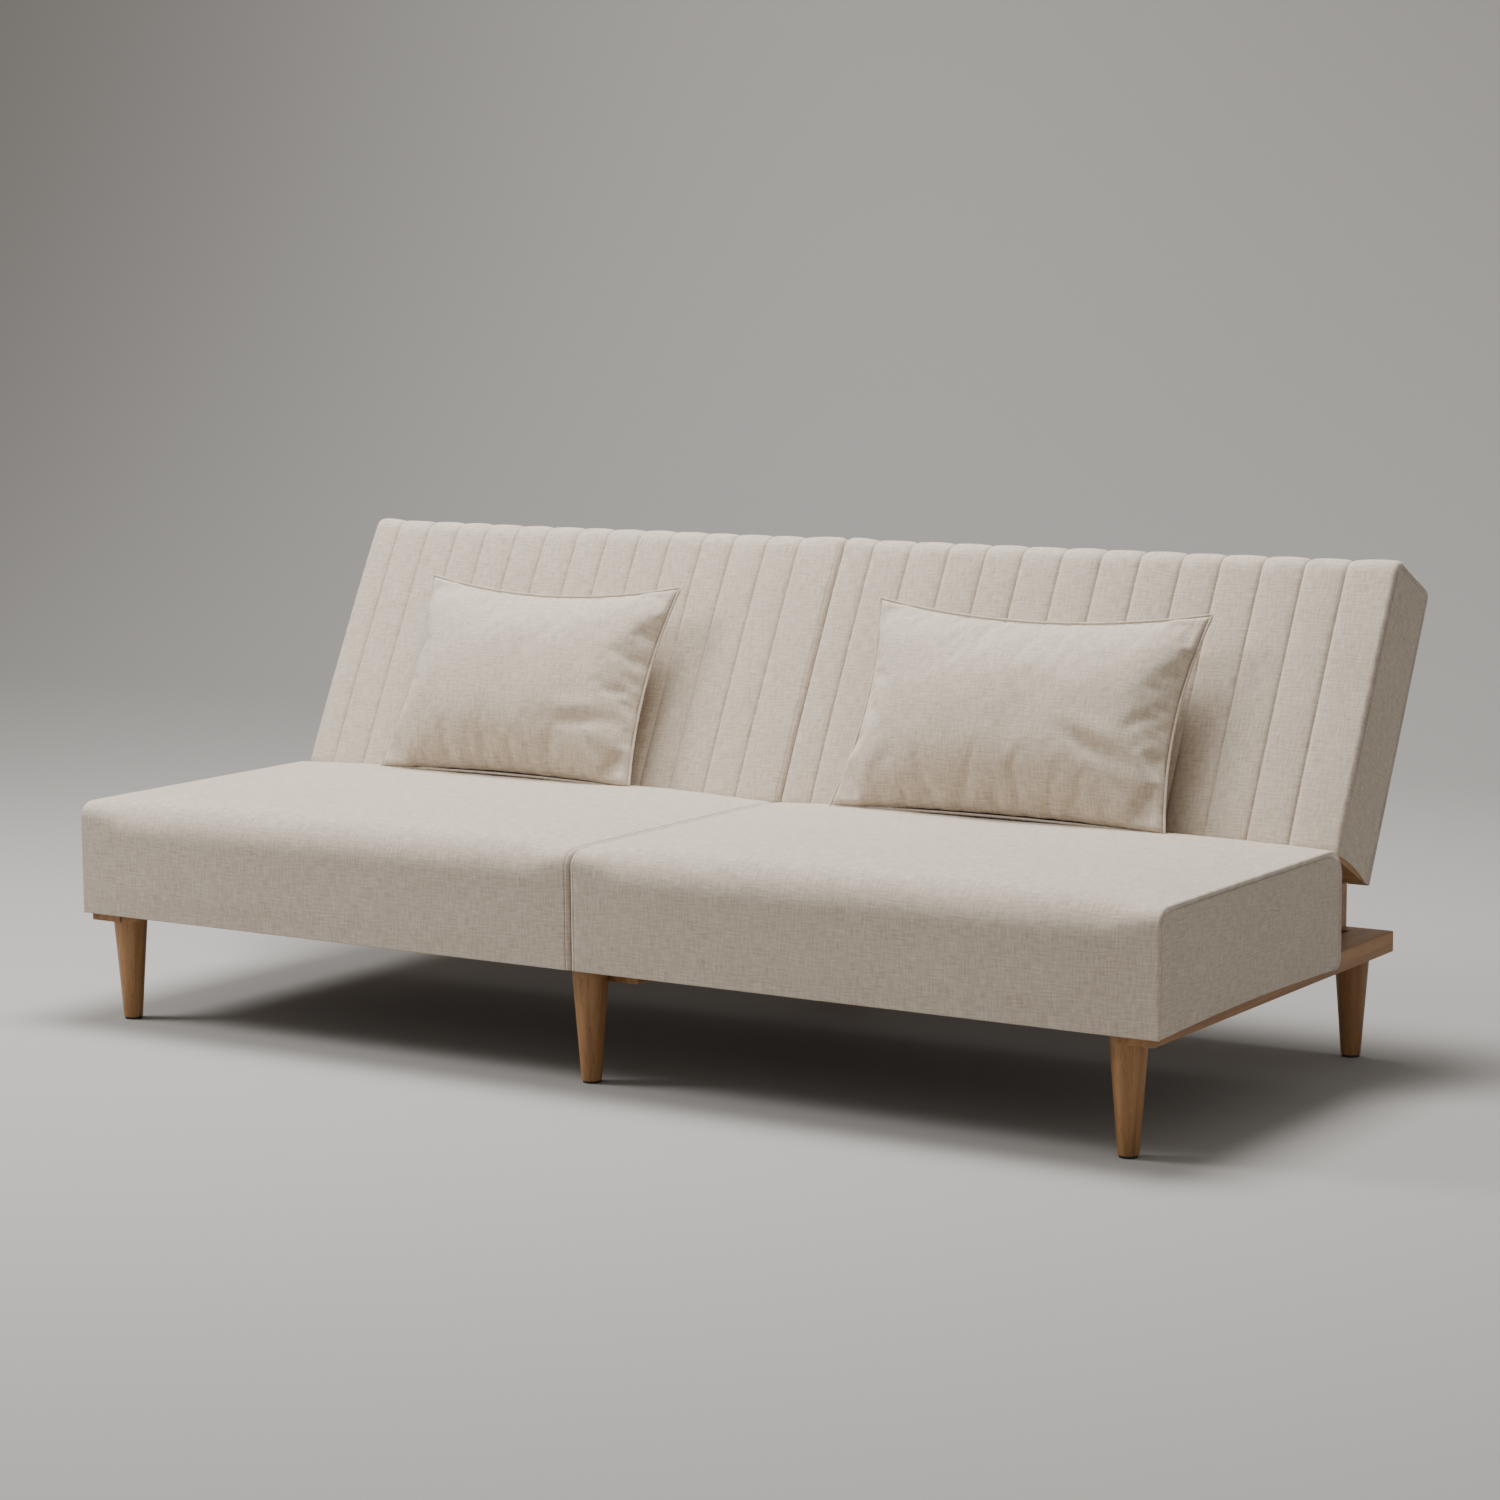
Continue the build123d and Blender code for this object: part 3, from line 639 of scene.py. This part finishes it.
def seat_cover(name, side, seed):
    columns = spaced(0, seat_width, 0.8 * mm, 116)
    near_end = np.array([2, 3, 4, 5, 6, 7, 8, 9, 10.5, 12.5, 15]) * mm
    columns = np.unique(np.concatenate([columns, near_end, seat_width - near_end]).round(6))

    def swell(across, along, place):
        """Crown = height times a flat-topped hump across times one from front to rear, plus slow drift."""
        share = across / seat_width
        deep = ((place[:, 0] - seat_low.y) / seat_deep)[:, None]
        span = 1 - np.abs(2 * share - 1) ** 5
        over = np.clip(1 - np.abs(2 * deep - 1.0) ** 5, 0, 1)
        upper = np.clip((place[:, 1] - (end_seam_top - front_roll)) / front_roll, 0, 1)[:, None]
        wave = drift(across, along, 0.26, seed) * 1.8 * mm + drift(across, along, 0.09, seed + 50) * 0.5 * mm
        face = np.clip((place[:, 1] - skirt_low) / (40 * mm), 0, 1)[:, None]
        front_face = (deep < 0.5) * front_bulge * np.sin(math.pi * face / 2) * (1 - upper)
        welt = 1.1 * mm * np.exp(-((across - 6.5 * mm) / (1.3 * mm)) ** 2)
        return span * (crown * over * upper + front_face * face) + wave * span * face - welt

    def outline(roll, rear):
        path, middles = seat_outline(roll, rear)
        return path, middles[:2]

    outlines = (outline(front_roll, 46 * mm), outline(24 * mm, 40 * mm))
    return box_cover(name, side, seat_width, seat_low.x, outlines, seat_sections, columns, swell,
                     (7 * mm, 3 * mm), (-2 * mm, 2.5 * mm))


seat_sheets = {}
for hand, side in (("right", 1), ("left", -1)):
    cover, seat_sheets[hand] = seat_cover(f"seat_upholstery_{hand}", side, 11 if side > 0 else 23)
    finish_cover(cover)
    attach(cover, "base")
    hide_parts(f"seat_cover_{hand}", f"seat_foam_{hand}")
    print(cover.name, len(cover.data.polygons), "faces")

# %% [markdown]
# ## Backs
# A back leans by the angle of the pillows' joint axis, and hangs from its hinge. It is made upright in
# its own corner and then leant. Its sheet is quilted into channels by rows of stitches that run up
# the front and over the top; between two rows the foam swells like a rib.

# %% Back covers
lean_axis = next(j["axis"] for j in frame["joints"] if j["name"] == "pillow_right_lift")
lean = math.atan2(lean_axis[2], -lean_axis[1])
pivot = next(j["pos_m"] for j in frame["joints"] if j["name"] == "back_right_recline")
pivot_behind, pivot_below = 45.7 * mm, 4.0 * mm
back_long, back_thick = 451.5 * mm, 124.7 * mm
rim = 33 * mm                       # cloth turned over the rear of the frame at each end
rim_top = 17 * mm
top_roll, rear_top_roll, foot_roll = 22 * mm, 12 * mm, 6 * mm
rib_height = 3.4 * mm
corner_y = pivot[1] - pivot_behind * math.cos(lean) + pivot_below * math.sin(lean)
corner_z = pivot[2] + pivot_behind * math.sin(lean) + pivot_below * math.cos(lean)


def leant(points):
    """Turns points from the back's own frame by the lean and moves them to its lower front corner."""
    y, z = points[..., 1], points[..., 2]
    out = points.copy()
    out[..., 1] = corner_y + y * math.cos(lean) + z * math.sin(lean)
    out[..., 2] = corner_z - y * math.sin(lean) + z * math.cos(lean)
    return out


def back_outline(top_roll):
    corners = [(foot_roll + 1 * mm, 0), (0, 0), (0, back_long), (back_thick, back_long), (back_thick, 0)]
    path, middles = round_path(corners, [foot_roll, top_roll, rear_top_roll])
    return path, middles[1:]


def back_sections(first, last, whole):
    window_floor = whole - (back_long - rim_top)
    front = spaced(0, first, 1.6 * mm, 66)
    rear = spaced(last, whole, 1.6 * mm, 66)
    rear[np.argmin(np.abs(rear - window_floor))] = window_floor
    return front, spaced(first, last, 1.6 * mm, 20), rear


def stitch_rows(width, first, last, count, seed):
    """Rows at even steps, each up to two millimetres off, as a sewer's guide line is."""
    chance = np.random.default_rng(seed)
    return np.linspace(first, last, count) + chance.uniform(-2, 2, count) * mm


back_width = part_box("back_cover_right")[1].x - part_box("back_cover_right")[0].x
near_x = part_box("back_cover_right")[0].x
rows_of = {"right": stitch_rows(back_width, 57 * mm, 853 * mm, 13, 3),
           "left": stitch_rows(back_width, 78 * mm, 878 * mm, 14, 4)}


def rib_columns(rows, width):
    """Columns crowd towards each row of stitches: a share of (1 - cos) / 2 between two rows."""
    turn = (1 - np.cos(np.linspace(0, math.pi, 11)[:-1])) / 2
    edges = np.concatenate([[0], rows, [width]])
    ribs = [low + (high - low) * turn for low, high in zip(edges, edges[1:])]
    extra = np.array([0.8, 2, 3, 4, 5, 6, 7, 8, 9, 11]) * mm
    special = np.array([rim, width - rim])
    every = np.concatenate(ribs + [[width], extra, width - extra, special])
    every = np.unique(every.round(6))
    return every[np.concatenate([[True], np.diff(every) > 0.35 * mm])]


def back_cover(name, hand, side, seed):
    path, middles = back_outline(top_roll)
    first, last, whole = stations(path, middles)
    rows = rows_of[hand]
    columns = rib_columns(rows, back_width)
    edges = np.concatenate([[0], rows, [back_width]])

    def swell(across, along, place):
        """Rib = height times sin(pi times the share of the way between two rows) to the half, with
        small cross folds that fade within 12 mm of the thread."""
        slot = np.clip(np.searchsorted(edges, across, side="right") - 1, 0, len(edges) - 2)
        low, high = edges[slot], edges[slot + 1]
        share = np.clip((across - low) / (high - low), 0, 1)
        rib = np.sin(math.pi * share) ** 0.4
        away = np.minimum(across - low, high - across)
        height = np.clip(along / (18 * mm), 0, 1)
        fade = np.clip(1 - (along - last) / (10 * mm), 0, 1) * height
        thread = np.exp(-(away / (2.6 * mm)) ** 2)
        pucker = drift(across * 0.2, along, 0.022, seed + 7) * np.exp(-(away / (10 * mm)) ** 2)
        face = np.clip(1 - np.abs(2 * along / first - 1) ** 3, 0, 1) * (along < first)
        wave = drift(across, along, 0.14, seed) * 0.8 * mm
        welt = 1.0 * mm * np.exp(-((across - 6.5 * mm) / (1.3 * mm)) ** 2)
        return ((rib * (rib_height + wave) - 1.6 * mm * thread + pucker * 0.7 * mm) * fade
                + face * 3.5 * mm * height - welt)

    window = (rim, back_width - rim, whole - (back_long - rim_top))
    outlines = ((path, middles), back_outline(14 * mm))
    thing, sheet = box_cover(name, side, back_width, near_x, outlines, back_sections, columns, swell,
                             (9 * mm, 3.5 * mm), (-2 * mm, 2 * mm), window)
    write_points(thing, leant(read_points(thing)))
    seams = [sheet[:, np.argmin(np.abs(columns - row))] for row in rows]
    return thing, leant(sheet), [leant(seam[:len(seam) * 4 // 7]) for seam in seams]


back_sheets, back_seams = {}, {}
for hand, side in (("right", 1), ("left", -1)):
    cover, back_sheets[hand], back_seams[hand] = back_cover(f"back_upholstery_{hand}", hand, side, 40 + side)
    finish_cover(cover)
    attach(cover, f"back_{hand}")
    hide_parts(f"back_cover_{hand}", f"back_foam_{hand}")
    print(cover.name, len(cover.data.polygons), "faces")

# %% [markdown]
# ## Pillows
# A lumbar pillow is two panels sewn together round the edge and stuffed. The outline, with its sides
# drawn in between the corners, and a first swelling come from sums. The rim is then pinned and cloth
# pressure pushes the panels out. Creases are pressed in afterwards, one by one, and the side that lies
# on the back is flattened.


# %% Pillows
def flat_bag(name, width, height, step, thick):
    """Two grids that share their rim; each stands off the middle by thick times the root of the
    distance to the rim, so that pressure knows which way is out."""
    across = np.linspace(-1, 1, int(width / step))
    up = np.linspace(-1, 1, int(height / step))
    u, v = np.meshgrid(across, up)
    rim_near = (1 - u ** 2) * (1 - v ** 2)
    grids = []
    for face in (1, -1):
        points = np.stack([u * width / 2, face * thick * rim_near ** 0.5, v * height / 2], -1)
        cloth = np.stack([u * width / 2 * face, v * height / 2 + (face < 0) * 3], -1)
        if face > 0:
            points, cloth = points[:, ::-1], cloth[:, ::-1]
        grids.append((points, cloth, np.ones((len(up) - 1, len(across) - 1), bool)))
    return sewn_mesh(name, grids)


def swollen(points, width, height, thick):
    """A first guess: half thickness is thick / 2 times the rim distance to the 0.45. The rim is drawn
    in between the corners: each side by 0.075 of the half width, the top by 26 mm, and the bottom,
    which lies on the seat, by 6 mm."""
    u, v = points[:, 0] / (width / 2), points[:, 2] / (height / 2)
    out = points.copy()
    out[:, 1] = np.sign(points[:, 1]) * thick / 2 * np.clip((1 - u ** 2) * (1 - v ** 2), 0, 1) ** 0.45
    out[:, 0] *= 1 - 0.075 * (1 - v ** 2) * u ** 2
    out[:, 2] -= np.where(v > 0, 26, -6) * mm * (1 - u ** 2) * v ** 2
    return out


def dent(points, spot, along, length, wide, deep):
    """A crease on the front panel: depth times a bell across it and a longer bell along it."""
    aim = np.array([math.cos(along), math.sin(along)])
    place = points[:, [0, 2]] - spot
    run, off = place @ aim, place @ np.array([-aim[1], aim[0]])
    bell = np.exp(-(off / wide) ** 2 - (run / length) ** 2)
    lip = 0.45 * np.exp(-((off - 1.9 * wide) / (1.3 * wide)) ** 2 - (run / length) ** 2)
    front = np.clip(-points[:, 1] / (20 * mm), 0, 1)
    out = points.copy()
    out[:, 1] += front * deep * (bell - lip)
    return out


def piping(name, loop, radius):
    """Closed tube: each ring is the loop point plus radius times (cos t across, sin t outwards)."""
    ahead = np.roll(loop, -1, axis=0) - np.roll(loop, 1, axis=0)
    ahead /= np.linalg.norm(ahead, axis=1)[:, None]
    normal = np.cross(ahead, (0, 1, 0))
    normal /= np.linalg.norm(normal, axis=1)[:, None]
    across = np.cross(ahead, normal)
    turn = np.linspace(0, 2 * math.pi, 9)[:, None]
    ring = np.cos(turn)[None] * across[:, None] + np.sin(turn)[None] * normal[:, None]
    rings = loop[:, None] + radius * ring
    rings = np.concatenate([rings, rings[:1]])
    step = np.concatenate([[0], np.cumsum(np.linalg.norm(np.diff(rings[:, 0], axis=0), axis=1))])
    cloth = np.stack(np.broadcast_arrays(step[:, None], (turn[:, 0] * radius)[None, :]), -1)
    return sewn_mesh(name, [(rings, cloth, np.ones((len(rings) - 1, 8), bool))])


pillow_thick = 140 * mm
pillow_high = 338 * mm
rest_from, rest_soft = 12 * mm, 8 * mm     # where the side on the back starts to flatten, and how softly
pillow_sizes = {"left": 492 * mm, "right": 560 * mm}
# Each crease: its middle from the pillow's middle, its heading in radians, then length, width and depth.
# All but the heading are in millimetres.
creases = {"left": [((150, -78), 0.10, 42, 11, 7), ((185, -120), -0.7, 26, 9, 4),
                    ((-20, -132), 1.3, 20, 8, 2.5), ((-60, 120), 0.15, 60, 16, 2)],
           "right": [((160, -62), -0.35, 48, 12, 7), ((215, -118), -0.8, 26, 10, 4),
                     ((30, 126), 0.1, 70, 16, 2.5), ((-190, -110), 0.9, 30, 10, 3)]}


def pillow(hand):
    low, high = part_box(f"pillow_cover_{hand}")
    width = pillow_sizes[hand]
    thing = flat_bag(f"pillow_{hand}", width, pillow_high, 7 * mm, 12 * mm)
    flat = read_points(thing)
    rim = np.flatnonzero(np.abs(flat[:, 1]) < 1e-6)
    order = np.argsort(np.arctan2(flat[rim, 2] / pillow_high, flat[rim, 0] / width))
    write_points(thing, swollen(flat, width, pillow_high, pillow_thick * 0.9))
    stuffed(thing, rim, 4.0, 0.035, 20, 25 * mm, 10.0, 0.3)
    points = read_points(thing)
    points[:, 1] *= pillow_thick / (points[:, 1].max() - points[:, 1].min())
    for spot, along, length, wide, deep in creases[hand]:
        points = dent(points, np.array(spot) * mm, along, length * mm, wide * mm, deep * mm)
    u, v = points[:, 0], points[:, 2]
    puff = np.clip(np.abs(points[:, 1]) / (40 * mm), 0, 1) * np.sign(points[:, 1])
    points[:, 1] += puff * drift(u, v, 0.15, 60 + len(hand)) * 3 * mm
    place = np.array([(low.x + high.x) / 2, 0, pillow_high / 2 - 9 * mm])
    points += place
    points[:, 1] -= 0.5 * pillow_thick - 3 * mm
    past = points[:, 1] + rest_from
    points[:, 1] = np.where(past > 0, rest_soft * np.tanh(past / rest_soft) - rest_from, points[:, 1])
    cord = piping(f"pillow_piping_{hand}", points[rim[order]], 2.1 * mm)
    write_points(thing, leant(points))
    write_points(cord, leant(read_points(cord)))
    thing.data.materials.append(cover_linen)
    cord.data.materials.append(cover_linen)
    smoother = thing.modifiers.new("rounder", "SUBSURF")
    smoother.levels = smoother.render_levels = 1
    for piece in (thing, cord):
        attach(piece, f"pillow_{hand}")
    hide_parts(f"pillow_cover_{hand}", f"pillow_fill_{hand}")
    print(thing.name, len(thing.data.polygons), "faces")


for hand in ("left", "right"):
    pillow(hand)

# %% [markdown]
# ## Thread
# Stitches are small, but they tell a seam from a fold. Each is a short spindle of thread that lies in
# the groove, and a gap of bare cloth follows it. Real stitch rows aren't perfect, so every stitch is
# turned and moved by a chance of a few tenths of a millimetre.

# %% Stitch rows
thread_finish = Finish("sewing_thread", 0.7, Base_Color=(0.50, 0.45, 0.385, 1))


def stitches(name, lines, seed, pitch=5 * mm, length=3.4 * mm, radius=0.45 * mm, proud=0.35 * mm):
    """Spindles along lines of (points, outward normals): two tips and a ring of four points each."""
    chance = np.random.default_rng(seed)
    middle, heading, out = [], [], []
    for line, normal in lines:
        distance = np.arange(pitch, lengths(line)[-1] - pitch, pitch)
        here, there = walk(line, distance - length / 2), walk(line, distance + length / 2)
        middle.append((here + there) / 2)
        heading.append(there - here)
        steps = np.linspace(0, 1, len(normal))
        out.append(np.stack([np.interp(distance / lengths(line)[-1], steps, c) for c in normal.T], -1))
    middle, heading, out = (np.concatenate(part) for part in (middle, heading, out))
    out /= np.linalg.norm(out, axis=1)[:, None]
    heading /= np.linalg.norm(heading, axis=1)[:, None]
    across = np.cross(heading, out)
    middle = middle + out * proud + across * chance.normal(0, 0.15 * mm, (len(middle), 1))
    heading = heading + across * chance.normal(0, 0.06, (len(middle), 1))
    half = heading * length / 2
    wide, tall = across * radius, out * radius
    spindle = np.stack([middle - half, middle + wide, middle + tall, middle - wide, middle - tall,
                        middle + half], 1)
    base = np.arange(len(middle))[:, None, None] * 6
    sides = np.array([[0, 2, 1], [0, 3, 2], [0, 4, 3], [0, 1, 4], [5, 1, 2], [5, 2, 3], [5, 3, 4], [5, 4, 1]])
    mesh = bpy.data.meshes.new(name)
    mesh.from_pydata(spindle.reshape(-1, 3).tolist(), [], (base + sides[None]).reshape(-1, 3).tolist())
    mesh.shade_smooth()
    thing = bpy.data.objects.new(name, mesh)
    bpy.context.scene.collection.objects.link(thing)
    mesh.materials.append(thread_finish.material)
    return thing


def seam_line(line):
    """A line and its outward normals. It climbs the front first, so outwards is x crossed with the
    heading, turned round."""
    normal = np.cross(np.gradient(line, axis=0), (1.0, 0, 0))
    return line, normal


for hand, side in (("right", 1), ("left", -1)):
    sheet = back_sheets[hand]
    ends = [sheet[:len(sheet) * 4 // 7, column] for column in (6, -5, -8)]
    lines = [seam_line(line) for line in back_seams[hand] + ends]
    thread = stitches(f"back_stitches_{hand}", lines, 70 + side)
    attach(thread, f"back_{hand}")
    sheet = seat_sheets[hand]
    lines = [seam_line(sheet[4:-40, column]) for column in (6, -5)]
    thread = stitches(f"seat_stitches_{hand}", lines, 80 + side)
    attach(thread, "base")
    print(thread.name, len(thread.data.polygons), "faces")
